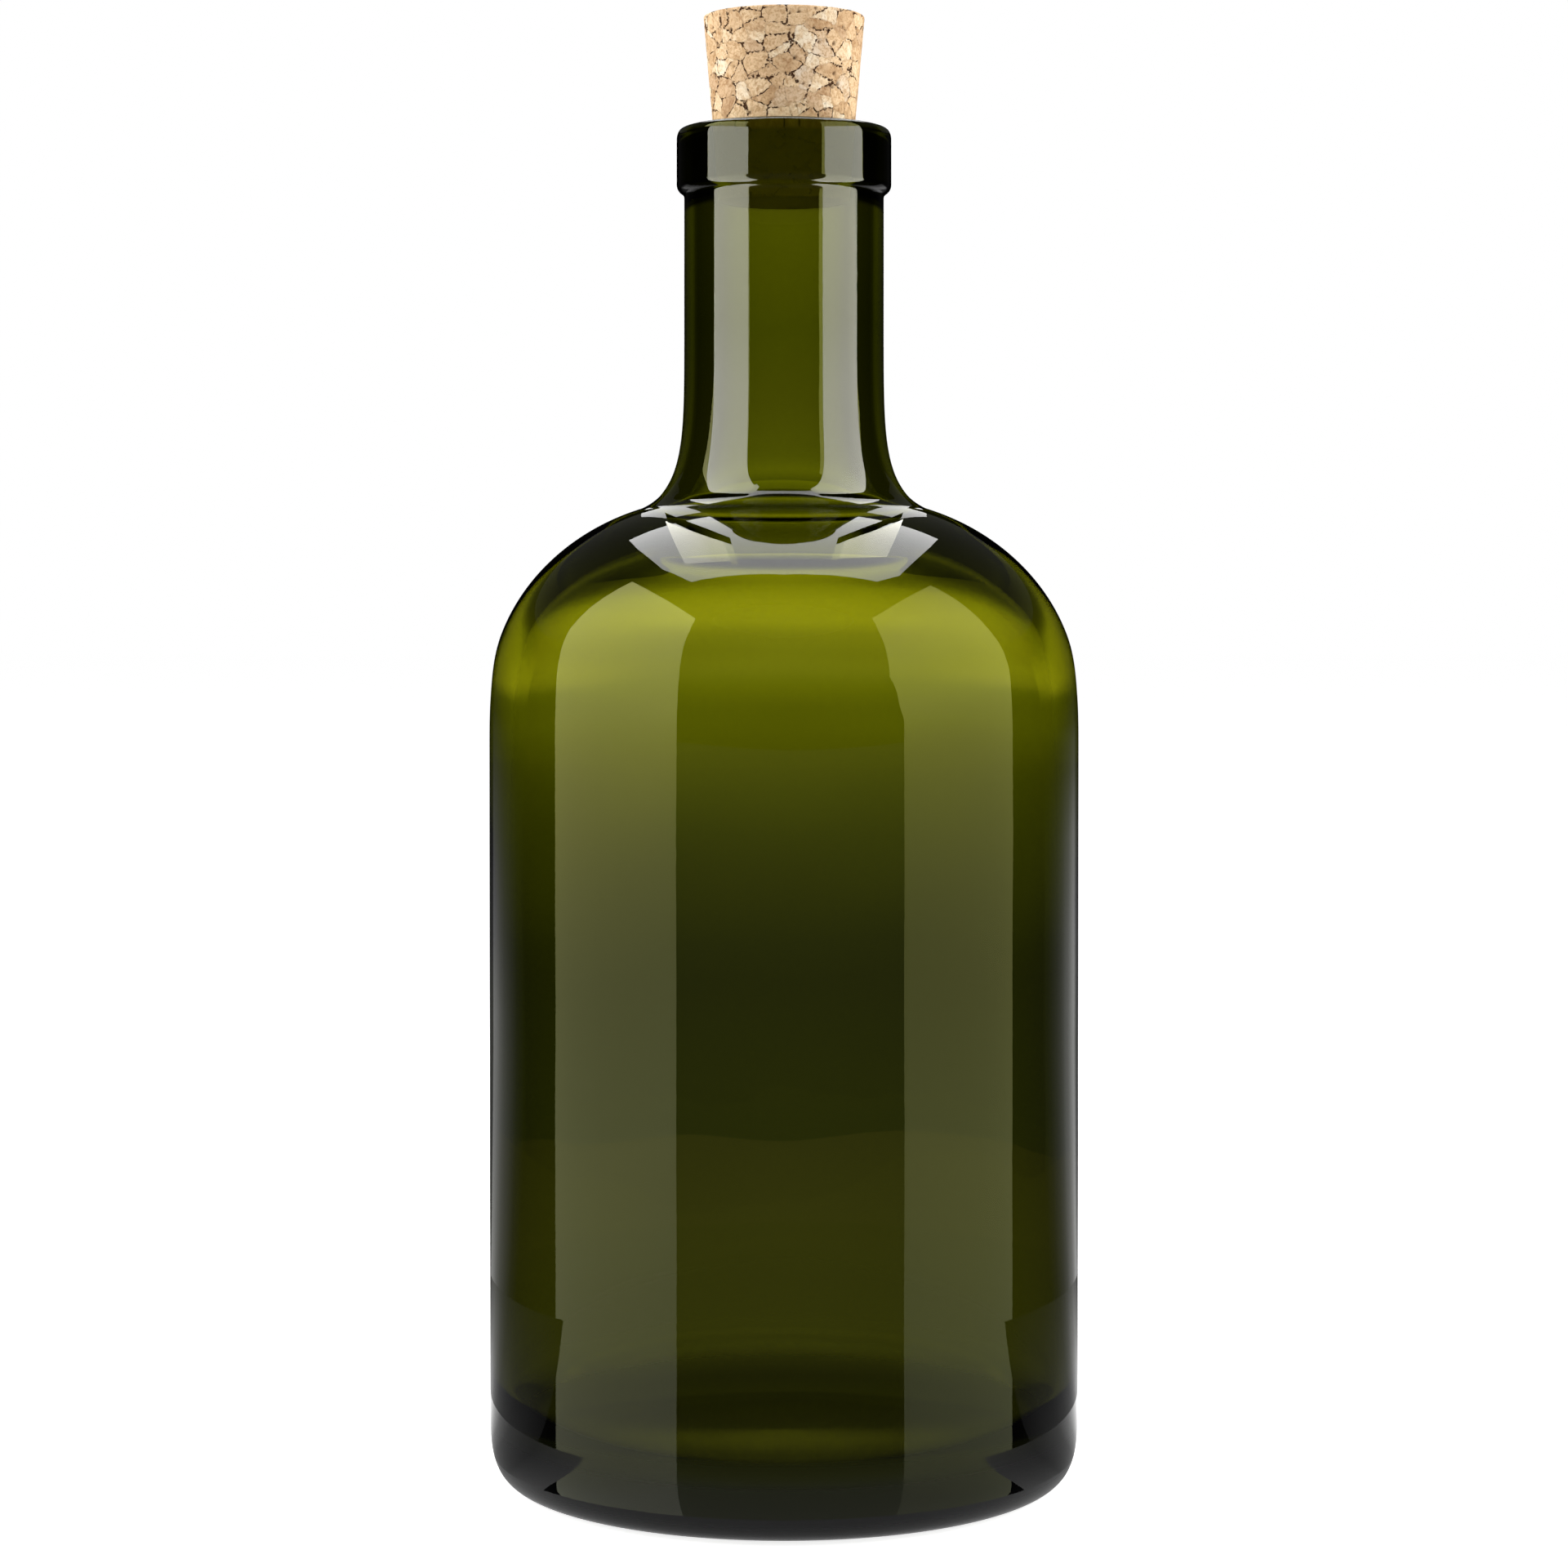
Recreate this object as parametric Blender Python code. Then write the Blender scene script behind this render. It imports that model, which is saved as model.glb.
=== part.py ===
# A round green glass oil bottle with a long neck and a tapered cork stopper.
# Metres, +Z up. The origin is the centre of the base, on the surface the bottle stands on.

import math

import bmesh
import bpy

# Body, in metres
BODY_RADIUS = 0.0400
SHOULDER_HEIGHT = 0.1065      # where the straight side starts to turn inwards
SEGMENTS = 64                 # sides of the turned bottle

# Base: a shallow push-up inside a flat ring that the bottle stands on, and a rounded heel
PUSH_UP_HEIGHT = 0.0035
RING_INNER_RADIUS = 0.0270
RING_OUTER_RADIUS = 0.0313
HEEL_HEIGHT = 0.0114
HEEL_POWER = 3.7              # how square the heel's rounding is: 2 is an ellipse

# Shoulder: part of an ellipse that starts upright at the side
SHOULDER_REACH = 0.03060      # the ellipse's half width
SHOULDER_RISE = 0.02726       # the ellipse's half height

# Neck: a long, slightly widening tube that sweeps out tightly onto the shoulder
NECK_RADIUS = 0.01356
NECK_STRAIGHT_FROM = 0.1636   # below this the neck widens
SWEEP_REACH = 0.02820
SWEEP_DROP = 0.03285
SWEEP_POWER = 6               # how tight the sweep's foot is

# Mouth: a collar with a slanted underside and a rounded upper edge
COLLAR_RADIUS = 0.01459
COLLAR_UNDERSIDE = 0.1744
COLLAR_BOTTOM = 0.1761
LIP_HEIGHT = 0.1838
LIP_ROUND_IN = 0.0009
LIP_ROUND_DOWN = 0.0015
BORE_MOUTH_RADIUS = 0.0098
BORE_RADIUS = 0.0096          # further down the neck
BORE_EDGE = 0.0005            # rounding where the lip turns into the bore

# Glass thickness
SIDE_WALL = 0.0028
BASE_WALL = 0.0042
INNER_HEEL = 0.0070           # radius of the rounding between the inner side and the floor

# Cork
CORK_SEGMENTS = 48
CORK_TOP_RADIUS = 0.01094
CORK_TOP = 0.1990
CORK_BOTTOM = 0.1736
CORK_BOTTOM_RADIUS = 0.0089
CORK_EDGE = 0.0003
CORK_GAP = 0.0003             # clear space between the cork and the glass


def quarter(step, steps, power):
    """Cosine and sine shares of a quarter turn, squared off by the power of the curve."""
    angle = math.pi / 2 * step / steps
    return math.cos(angle) ** (2 / power), math.sin(angle) ** (2 / power)


def base_points():
    """Centre of the push-up, out over the standing ring and up round the heel."""
    points = []
    steps = 4
    for i in range(steps):
        share = i / steps
        points.append((RING_INNER_RADIUS * share, PUSH_UP_HEIGHT * math.cos(math.pi / 2 * share) ** 1.5))
    points.append((RING_INNER_RADIUS, 0))
    reach = BODY_RADIUS - RING_OUTER_RADIUS
    steps = 8
    for i in range(steps + 1):
        down, out = quarter(i, steps, HEEL_POWER)
        points.append((RING_OUTER_RADIUS + reach * out, HEEL_HEIGHT * (1 - down)))
    return points


def shoulder_radius(z):
    rise = (z - SHOULDER_HEIGHT) / SHOULDER_RISE
    return BODY_RADIUS - SHOULDER_REACH + SHOULDER_REACH * math.sqrt(max(0, 1 - rise ** 2))


def sweep_radius(z):
    drop = (NECK_STRAIGHT_FROM - z) / SWEEP_DROP
    return NECK_RADIUS + SWEEP_REACH * (1 - (1 - drop ** SWEEP_POWER) ** (1 / SWEEP_POWER))


def meeting_height():
    """Height where the shoulder's curve and the neck's sweep touch."""
    low = NECK_STRAIGHT_FROM - SWEEP_DROP
    high = SHOULDER_HEIGHT + SHOULDER_RISE
    steps = 400
    heights = [low + (high - low) * i / steps for i in range(steps)]
    return min(heights, key=lambda z: abs(sweep_radius(z) - shoulder_radius(z)))


def shoulder_points(meeting):
    """From the top of the straight side up to the meeting, by equal turns of the ellipse."""
    last = math.asin((meeting - SHOULDER_HEIGHT) / SHOULDER_RISE)
    steps = 12
    return [
        (BODY_RADIUS - SHOULDER_REACH * (1 - math.cos(last * i / steps)),
         SHOULDER_HEIGHT + SHOULDER_RISE * math.sin(last * i / steps))
        for i in range(steps + 1)
    ]


def sweep_points(meeting):
    """From just above the meeting up to the straight neck, closer together in the tight part."""
    steps = 10
    span = NECK_STRAIGHT_FROM - meeting
    heights = [meeting + span * (i / steps) ** 2.2 for i in range(1, steps + 1)]
    return [(sweep_radius(z), z) for z in heights]


def collar_points():
    """Up the slanted underside, the collar's side and over the lip to the bore's edge."""
    points = [(NECK_RADIUS, COLLAR_UNDERSIDE), (COLLAR_RADIUS, COLLAR_BOTTOM)]
    steps = 4
    for i in range(steps + 1):
        out, up = quarter(i, steps, 2)
        points.append((COLLAR_RADIUS - LIP_ROUND_IN * (1 - out), LIP_HEIGHT - LIP_ROUND_DOWN * (1 - up)))
    steps = 3
    for i in range(steps + 1):
        down, across = quarter(i, steps, 2)
        points.append((BORE_MOUTH_RADIUS + BORE_EDGE * (1 - across), LIP_HEIGHT - BORE_EDGE * (1 - down)))
    return points


def inner_points(outside):
    """The inner wall from the bore down to the floor, a glass thickness inside the outer curve."""
    points = []
    for before, here, after in zip(outside, outside[1:], outside[2:]):
        along = (after[0] - before[0], after[1] - before[1])
        length = math.hypot(*along)
        share = min(1, max(0, (here[1] - SHOULDER_HEIGHT) / SHOULDER_RISE))
        wall = SIDE_WALL + (NECK_RADIUS - BORE_RADIUS - SIDE_WALL) * share ** 2
        points.append((here[0] - wall * along[1] / length, here[1] + wall * along[0] / length))
    points = points[::-2]
    side = BODY_RADIUS - SIDE_WALL
    floor = BASE_WALL
    steps = 4
    for i in range(steps + 1):
        out, down = quarter(i, steps, 2)
        points.append((side - INNER_HEEL * (1 - out), floor + INNER_HEEL * (1 - down)))
    rim = side - INNER_HEEL
    steps = 3
    for i in range(steps - 1, -1, -1):
        share = i / steps
        points.append((rim * share, floor + PUSH_UP_HEIGHT * math.cos(math.pi / 2 * share) ** 1.5))
    return points


def bottle_points():
    meeting = meeting_height()
    curve = shoulder_points(meeting) + sweep_points(meeting)
    return base_points() + curve + collar_points() + inner_points(curve)


def cork_points():
    """Bottom centre, up the part held in the bore, then the taper that stands above the lip."""
    lip_radius = BORE_MOUTH_RADIUS - CORK_GAP
    return [
        (0, CORK_BOTTOM),
        (CORK_BOTTOM_RADIUS - CORK_EDGE, CORK_BOTTOM),
        (CORK_BOTTOM_RADIUS, CORK_BOTTOM + CORK_EDGE),
        (lip_radius, LIP_HEIGHT),
        (CORK_TOP_RADIUS, CORK_TOP - CORK_EDGE),
        (CORK_TOP_RADIUS - CORK_EDGE, CORK_TOP),
        (0, CORK_TOP),
    ]


def turned(name, points, segments, material):
    """A closed body turned round Z from (radius, height) points that start and end on the axis."""
    bm = bmesh.new()
    corners = [bm.verts.new((radius, 0, height)) for radius, height in points]
    edges = [bm.edges.new(pair) for pair in zip(corners, corners[1:])]
    bmesh.ops.spin(
        bm, geom=corners + edges, cent=(0, 0, 0), axis=(0, 0, 1),
        angle=math.tau, steps=segments, use_merge=True,
    )
    bmesh.ops.remove_doubles(bm, verts=bm.verts, dist=0.00001)
    bmesh.ops.recalc_face_normals(bm, faces=bm.faces)
    mesh = bpy.data.meshes.new(name)
    bm.to_mesh(mesh)
    bm.free()
    mesh.shade_smooth()
    mesh.set_sharp_from_angle(angle=math.radians(35))
    mesh.materials.append(material)
    body = bpy.data.objects.new(name, mesh)
    bpy.context.scene.collection.objects.link(body)
    return body


def glass_material():
    material = bpy.data.materials.new("olive_green_glass")
    material.use_nodes = True
    shader = material.node_tree.nodes["Principled BSDF"]
    shader.inputs["Base Color"].default_value = (0.30, 0.34, 0.05, 1)
    shader.inputs["Roughness"].default_value = 0.03
    shader.inputs["Metallic"].default_value = 0
    shader.inputs["IOR"].default_value = 1.52
    shader.inputs["Transmission Weight"].default_value = 1
    return material


def cork_material():
    material = bpy.data.materials.new("pressed_cork")
    material.use_nodes = True
    shader = material.node_tree.nodes["Principled BSDF"]
    shader.inputs["Base Color"].default_value = (0.64, 0.42, 0.24, 1)
    shader.inputs["Roughness"].default_value = 0.9
    shader.inputs["Metallic"].default_value = 0
    return material


def main():
    for thing in list(bpy.data.objects):
        bpy.data.objects.remove(thing)
    turned("bottle", bottle_points(), SEGMENTS, glass_material())
    turned("cork", cork_points(), CORK_SEGMENTS, cork_material())


main()
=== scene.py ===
# Olive green glass oil bottle with a pressed cork in its mouth, on a pale table in a small studio.
import math

import bmesh
import bpy
import numpy as np
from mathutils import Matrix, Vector, noise


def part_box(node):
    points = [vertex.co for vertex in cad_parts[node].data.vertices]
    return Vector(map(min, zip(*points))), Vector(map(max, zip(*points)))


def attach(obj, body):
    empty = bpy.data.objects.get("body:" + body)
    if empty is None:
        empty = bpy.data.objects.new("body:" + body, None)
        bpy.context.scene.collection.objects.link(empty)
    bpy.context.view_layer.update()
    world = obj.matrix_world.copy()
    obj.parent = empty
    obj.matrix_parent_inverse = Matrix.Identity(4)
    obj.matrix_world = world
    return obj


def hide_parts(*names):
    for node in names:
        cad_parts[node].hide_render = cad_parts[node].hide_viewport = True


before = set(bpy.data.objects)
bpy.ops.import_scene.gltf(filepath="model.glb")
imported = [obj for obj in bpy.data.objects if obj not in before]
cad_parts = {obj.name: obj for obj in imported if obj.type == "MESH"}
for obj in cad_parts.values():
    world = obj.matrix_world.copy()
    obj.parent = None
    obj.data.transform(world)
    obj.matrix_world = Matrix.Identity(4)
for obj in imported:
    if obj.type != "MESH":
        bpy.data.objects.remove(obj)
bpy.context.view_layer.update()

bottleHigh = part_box("bottle")[1]
corkLow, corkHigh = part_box("cork")
mm = bottleHigh.x / 40  # a millimetre on a bottle 80 mm across; every size below is in these
lipHeight = bottleHigh.z / mm
corkBottom, corkTop = corkLow.z / mm, corkHigh.z / mm
print("frame: body 80 units across, lip at %.1f, cork %.1f to %.1f" % (lipHeight, corkBottom, corkTop))

bottle = {
    "segments": 192,
    "bodyRadius": 40.0,
    "pushUp": 3.5, "ringInner": 27.0, "ringOuter": 31.3,  # hollow base and the ring it stands on
    "pushUpPower": 1.15,  # 1 makes the hollow a cone, and more makes it a dome
    "heelHeight": 11.4, "heelPower": 3.7,
    "shoulderFrom": 106.5, "shoulderReach": 30.6, "shoulderRise": 27.26,
    "neckRadius": 13.56, "neckStraightFrom": 163.6,
    "sweepReach": 28.2, "sweepDrop": 32.85, "sweepPower": 6,  # how the neck runs out onto the shoulder
    "foot": [  # height and slope in degrees, down the neck's foot: it turns fastest near 134
        (136.34, 25.1), (135.2, 32.0), (134.6, 36.0), (134.1, 39.2), (133.85, 46.0), (133.4, 51.0),
        (132.9, 57.0), (132.5, 62.5), (132.0, 68.0), (131.0, 74.0),
    ],
    "sideToShoulder": 9,  # length over which the straight side eases into the shoulder
    "collarRadius": 14.59, "collarUnderside": 174.75, "collarBottom": 175.5, "collarCorner": 0.75,
    "lipRoundIn": 0.9, "lipRoundDown": 1.5,
    "boreMouth": 9.8, "bore": 9.6, "boreEdge": 0.5,
    "sideWall": 2.8, "floor": 6.2, "innerHeel": 9.0, "innerPushUp": 0.5,
    "innerWave": 0.10, "outerWave": 0.015,  # unevenness of the blown glass
    "waveSize": 17, "waveFrom": 12,  # distance from swell to swell, and the height where they start
}


def quarter(step, steps, power=2):
    angle = math.pi / 2 * step / steps
    return math.cos(angle) ** (2 / power), math.sin(angle) ** (2 / power)


def spread(start, end, gap):
    # points from start to end, the end left out, about gap apart
    count = max(1, round(math.dist(start, end) / gap))
    return [(start[0] + (end[0] - start[0]) * i / count, start[1] + (end[1] - start[1]) * i / count)
            for i in range(count)]


def roundedCorner(before, corner, after, radius, steps=6):
    # a soft corner: the two straight sides are joined by a curve that starts radius away from it
    out = []
    a, c, b = Vector(before), Vector(corner), Vector(after)
    start, end = c + (a - c).normalized() * radius, c + (b - c).normalized() * radius
    for i in range(steps + 1):
        t = i / steps
        out.append(tuple(start * (1 - t) ** 2 + c * 2 * t * (1 - t) + end * t ** 2))
    return out


def shoulderRadius(z, b):
    rise = (z - b["shoulderFrom"]) / b["shoulderRise"]
    return b["bodyRadius"] - b["shoulderReach"] * (1 - math.sqrt(max(0, 1 - rise ** 2)))


def sweepRadius(z, b):
    drop = (b["neckStraightFrom"] - z) / b["sweepDrop"]
    power = b["sweepPower"]
    return b["neckRadius"] + b["sweepReach"] * (1 - max(0, 1 - drop ** power) ** (1 / power))


def footCurve(b):
    # down the foot by its slopes until it reaches the shoulder's ellipse
    heights, slopes = zip(*reversed(b["foot"]))
    z = heights[-1]
    r = sweepRadius(z, b)
    points = [(r, z)]
    while r > shoulderRadius(z, b):
        r += 0.05 * math.tan(math.radians(np.interp(z - 0.025, heights, slopes)))
        z -= 0.05
        points.append((r, z))
    return points[::-1]


def shoulderAndNeck(b):
    # up the side and the shoulder's ellipse to where the neck's foot meets it, then up the neck
    foot = footCurve(b)
    meeting = foot[0][1]
    last = math.asin((meeting - b["shoulderFrom"]) / b["shoulderRise"])
    ease = b["sideToShoulder"]
    curve = [(b["bodyRadius"], b["shoulderFrom"] - ease + ease * i / 12) for i in range(12)]
    for i in range(101):
        turn = last * i / 100
        curve.append((b["bodyRadius"] - b["shoulderReach"] * (1 - math.cos(turn)),
                      b["shoulderFrom"] + b["shoulderRise"] * math.sin(turn)))
    curve = easedStart(evenSpacing(curve, 0.7), b["shoulderFrom"], ease)[:-1]
    curve += [foot[i] for i in range(0, len(foot), 3)]
    low = foot[-1][1]
    for i in range(1, 31):
        z = low + (b["neckStraightFrom"] - low) * (i / 30) ** 1.5
        curve.append((sweepRadius(z, b), z))
    return curve


def easedStart(points, height, ease):
    # averages the curve near the height where it starts to bend, so that the bend comes on gradually
    points = np.array(points)
    soft = points.copy()
    for _ in range(60):
        soft[1:-1] = soft[1:-1] * 0.5 + (soft[:-2] + soft[2:]) * 0.25
    share = np.clip(1 - np.abs(points[:, 1] - height) / ease, 0, 1)
    share = (share * share * (3 - 2 * share))[:, None]
    return [tuple(p) for p in points * (1 - share) + soft * share]


def evenSpacing(points, gap):
    points = np.array(points)
    steps = np.hypot(*np.diff(points, axis=0).T)
    along = np.concatenate([[0], np.cumsum(steps)])
    wanted = np.linspace(0, along[-1], max(2, round(along[-1] / gap)) + 1)
    return list(zip(np.interp(wanted, along, points[:, 0]), np.interp(wanted, along, points[:, 1])))


def relaxed(points, passes):
    # evens out a curve without moving its ends
    points = np.array(points)
    for _ in range(passes):
        points[1:-1] = points[1:-1] * 0.5 + (points[:-2] + points[2:]) * 0.25
    return [tuple(p) for p in points]


def outerProfile(b, curve):
    points = []
    for i in range(20):
        share = i / 20
        points.append((b["ringInner"] * share, b["pushUp"] * (1 - share ** b["pushUpPower"])))
    points += spread((b["ringInner"], 0), (b["ringOuter"], 0), 1.2)
    reach = b["bodyRadius"] - b["ringOuter"]
    for i in range(25):
        down, out = quarter(i, 24, b["heelPower"])
        points.append((b["ringOuter"] + reach * out, b["heelHeight"] * (1 - down)))
    points += spread(points[-1], curve[0], 2.5)[1:]
    points += curve
    neck, collar = b["neckRadius"], b["collarRadius"]
    under, bottom = (neck, b["collarUnderside"]), (collar, b["collarBottom"])
    shoulder = (collar, lipHeight - b["lipRoundDown"])
    points += spread(curve[-1], (neck, b["collarUnderside"] - 0.7), 1.6)[1:]
    corner = b["collarCorner"]
    points += roundedCorner(curve[-1], under, bottom, 0.4, 4)
    points += roundedCorner(under, bottom, shoulder, corner, 8)
    points += spread((collar, b["collarBottom"] + corner), shoulder, 0.7)[1:]
    for i in range(11):
        out, up = quarter(i, 10)
        points.append((collar - b["lipRoundIn"] * (1 - out), lipHeight - b["lipRoundDown"] * (1 - up)))
    points += spread(points[-1], (b["boreMouth"] + b["boreEdge"], lipHeight), 0.8)[1:]
    for i in range(7):
        down, across = quarter(i, 6)
        points.append((b["boreMouth"] + b["boreEdge"] * (1 - across), lipHeight - b["boreEdge"] * (1 - down)))
    return points


def innerProfile(b, curve):
    # a wall's thickness inside the outer curve, thicker up the neck, then down to the domed floor
    wallCurve = []
    for before, here, after in zip(curve, curve[1:], curve[2:]):
        along = Vector((after[0] - before[0], after[1] - before[1])).normalized()
        share = min(1, max(0, (here[1] - b["shoulderFrom"]) / b["shoulderRise"]))
        wall = b["sideWall"] + (b["neckRadius"] - b["bore"] - b["sideWall"]) * share ** 2
        wallCurve.append((here[0] - wall * along.y, here[1] + wall * along.x))
    wallCurve = relaxed(evenSpacing(wallCurve[::-1], 0.7), 60)
    points = spread((b["boreMouth"], lipHeight - b["boreEdge"]), wallCurve[0], 1.2)[1:]
    points += wallCurve
    side = b["bodyRadius"] - b["sideWall"]
    points += spread(wallCurve[-1], (side, b["floor"] + b["innerHeel"]), 2.5)[1:]
    for i in range(17):
        out, down = quarter(i, 16)
        points.append((side - b["innerHeel"] * (1 - out), b["floor"] + b["innerHeel"] * (1 - down)))
    rim = side - b["innerHeel"]
    for i in range(23, -1, -1):
        share = i / 24
        points.append((rim * share, b["floor"] + b["innerPushUp"] * math.cos(math.pi / 2 * share) ** 1.5))
    return points


def spunGlass(b):
    curve = shoulderAndNeck(b)
    outer, inner = outerProfile(b, curve), innerProfile(b, curve)
    profile = outer + inner
    bm = bmesh.new()
    corners = [bm.verts.new((r * mm, 0, z * mm)) for r, z in profile]
    edges = [bm.edges.new(pair) for pair in zip(corners, corners[1:])]
    bmesh.ops.spin(bm, geom=corners + edges, cent=(0, 0, 0), axis=(0, 0, 1), angle=math.tau,
                   steps=b["segments"], use_merge=True)
    bmesh.ops.remove_doubles(bm, verts=bm.verts, dist=0.002 * mm)
    bmesh.ops.recalc_face_normals(bm, faces=bm.faces)
    # blown glass is never quite even: long soft waves, stronger on the inside
    innerLimit = b["bodyRadius"] - b["sideWall"] * 0.5
    low, high = b["waveFrom"], b["collarUnderside"] - 2
    for vert in bm.verts:
        r, z = math.hypot(vert.co.x, vert.co.y) / mm, vert.co.z / mm
        if r < 6 or z < low or z > high:
            continue
        outside = r > innerLimit if z < b["shoulderFrom"] else r > wallMiddle(z, b)
        depth = b["outerWave"] if outside else b["innerWave"]
        fade = min(1, (z - low) / 10, (high - z) / 12)
        place = vert.co / mm / b["waveSize"] + Vector((0, 0, 0 if outside else 40))
        shift = noise.noise(place) * depth * fade
        vert.co.x += vert.co.x / (r * mm) * shift * mm
        vert.co.y += vert.co.y / (r * mm) * shift * mm
    mesh = bpy.data.meshes.new("glassBottle")
    bm.to_mesh(mesh)
    bm.free()
    mesh.shade_smooth()
    piece = bpy.data.objects.new("glassBottle", mesh)
    bpy.context.scene.collection.objects.link(piece)
    return piece


def wallMiddle(z, b):
    onNeck = z > b["neckStraightFrom"] - b["sweepDrop"] + 1.2  # just above the neck's foot
    return (sweepRadius(z, b) if onNeck else shoulderRadius(z, b)) - b["sideWall"] / 2


def newMaterial(name):
    material = bpy.data.materials.new(name)
    material.use_nodes = True
    nodes, links = material.node_tree.nodes, material.node_tree.links
    return material, nodes, links, nodes["Principled BSDF"], nodes["Material Output"]


def ramp(nodes, stops, factor=None, links=None):
    node = nodes.new("ShaderNodeValToRGB")
    elements = node.color_ramp.elements
    while len(elements) < len(stops):
        elements.new(0.5)
    for element, (place, colour) in zip(elements, stops):
        element.position = place
        element.color = (*colour, 1) if len(colour) == 3 else colour
    if factor is not None:
        links.new(factor, node.inputs["Fac"])
    return node


glass = {
    "absorb": (0.690, 0.700, 0.013),  # what a metre of it lets through, as a tint
    "density": 800,
    "ior": 1.52,
    "smoothest": 0.003, "hazyRoughness": 0.012,  # clean glass, and the faint film of handling
    "filmScale": 0.045, "filmFrom": 0.45, "filmFull": 0.80,
    "rippleDepth": 0.03, "rippleSize": 14, "rippleStretch": 0.55,
    # the inner floor is uneven from the mould; it ends at this radius and between these heights
    "floorRoughness": 0.35, "floorRadius": 37, "floorTop": 14, "floorUnder": 3.6,
}


def oliveGlass(g):
    material, nodes, links, shader, output = newMaterial("oliveGlass")
    shader.inputs["Base Color"].default_value = (1, 1, 1, 1)
    shader.inputs["Transmission Weight"].default_value = 1
    shader.inputs["IOR"].default_value = g["ior"]
    place = nodes.new("ShaderNodeTexCoord")
    film = nodes.new("ShaderNodeTexNoise")  # cloudy film, a few centimetres across
    film.inputs["Scale"].default_value = g["filmScale"] / mm
    film.inputs["Detail"].default_value = 5
    links.new(place.outputs["Object"], film.inputs["Vector"])
    haze = nodes.new("ShaderNodeMapRange")
    haze.inputs["From Min"].default_value = g["filmFrom"]
    haze.inputs["From Max"].default_value = g["filmFull"]
    haze.inputs["To Min"].default_value = g["smoothest"]
    haze.inputs["To Max"].default_value = g["hazyRoughness"]
    links.new(film.outputs["Fac"], haze.inputs["Value"])
    split = nodes.new("ShaderNodeSeparateXYZ")  # a mask for the inner floor, by radius and height
    links.new(place.outputs["Object"], split.inputs["Vector"])
    across = nodes.new("ShaderNodeVectorMath")
    across.operation = "LENGTH"
    flat = nodes.new("ShaderNodeCombineXYZ")
    links.new(split.outputs["X"], flat.inputs["X"])
    links.new(split.outputs["Y"], flat.inputs["Y"])
    links.new(flat.outputs["Vector"], across.inputs[0])
    mask = None
    for value, low, high in ((across.outputs["Value"], g["floorRadius"], g["floorRadius"] - 2),
                             (split.outputs["Z"], g["floorTop"] + 3, g["floorTop"] - 3),
                             (split.outputs["Z"], g["floorUnder"], g["floorUnder"] + 0.3)):
        inside = nodes.new("ShaderNodeMapRange")
        inside.inputs["From Min"].default_value = low * mm
        inside.inputs["From Max"].default_value = high * mm
        links.new(value, inside.inputs["Value"])
        if mask is None:
            mask = inside.outputs["Result"]
        else:
            both = nodes.new("ShaderNodeMath")
            both.operation = "MULTIPLY"
            links.new(mask, both.inputs[0])
            links.new(inside.outputs["Result"], both.inputs[1])
            mask = both.outputs["Value"]
    blurred = nodes.new("ShaderNodeMath")
    blurred.operation = "MULTIPLY_ADD"
    blurred.inputs[1].default_value = g["floorRoughness"]
    links.new(mask, blurred.inputs[0])
    links.new(haze.outputs["Result"], blurred.inputs[2])
    links.new(blurred.outputs["Value"], shader.inputs["Roughness"])
    stretched = nodes.new("ShaderNodeMapping")  # ripples run a little up and down the bottle
    stretched.inputs["Scale"].default_value = (1, 1, g["rippleStretch"])
    links.new(place.outputs["Object"], stretched.inputs["Vector"])
    ripples = nodes.new("ShaderNodeTexNoise")
    ripples.inputs["Scale"].default_value = 1 / (g["rippleSize"] * mm)
    ripples.inputs["Detail"].default_value = 1
    links.new(stretched.outputs["Vector"], ripples.inputs["Vector"])
    bump = nodes.new("ShaderNodeBump")
    bump.inputs["Strength"].default_value = 1
    bump.inputs["Distance"].default_value = g["rippleDepth"] * mm
    links.new(ripples.outputs["Fac"], bump.inputs["Height"])
    links.new(bump.outputs["Normal"], shader.inputs["Normal"])
    soak = nodes.new("ShaderNodeVolumeAbsorption")
    soak.inputs["Color"].default_value = (*g["absorb"], 1)
    soak.inputs["Density"].default_value = g["density"]
    links.new(soak.outputs["Volume"], output.inputs["Volume"])
    return material


glassBottle = spunGlass(bottle)
glassBottle.data.materials.append(oliveGlass(glass))
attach(glassBottle, "root")
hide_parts("bottle")
print("bottle: %d faces of glass" % len(glassBottle.data.polygons))

cork = {
    "around": 360, "rowGap": 0.2,
    "topRadius": 10.94, "bottomRadius": 8.95, "lipRadius": 9.62, "edge": 0.32,
    "swell": 0.02, "swellSize": 1.6, "grit": 0.012, "gritSize": 0.5,  # unevenness left by sanding
    "pits": 110, "pitsOnTop": 0.3, "pitSize": (0.12, 0.32), "pitDepth": 0.28, "seed": 17,
}


def corkOutline(c):
    # bottom centre, up the side and in to the top centre, as (radius, height)
    lip = lipHeight
    bottom, top, edge = corkBottom, corkTop, c["edge"]
    r0, r1, r2 = c["bottomRadius"], c["lipRadius"], c["topRadius"]
    rows = spread((0.01, bottom), (r0 - edge, bottom), 0.9)
    rows += roundedCorner((0, bottom), (r0, bottom), (r1, lip), edge, 3)
    rows += spread(rows[-1], (r1, lip), 0.5)[1:]
    rows += spread((r1, lip), (r2, top), c["rowGap"])[:-2]
    rows += roundedCorner((r1, lip), (r2, top), (0, top), edge, 4)
    rows += spread(rows[-1], (0.01, top), c["rowGap"])[1:]
    return rows


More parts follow.
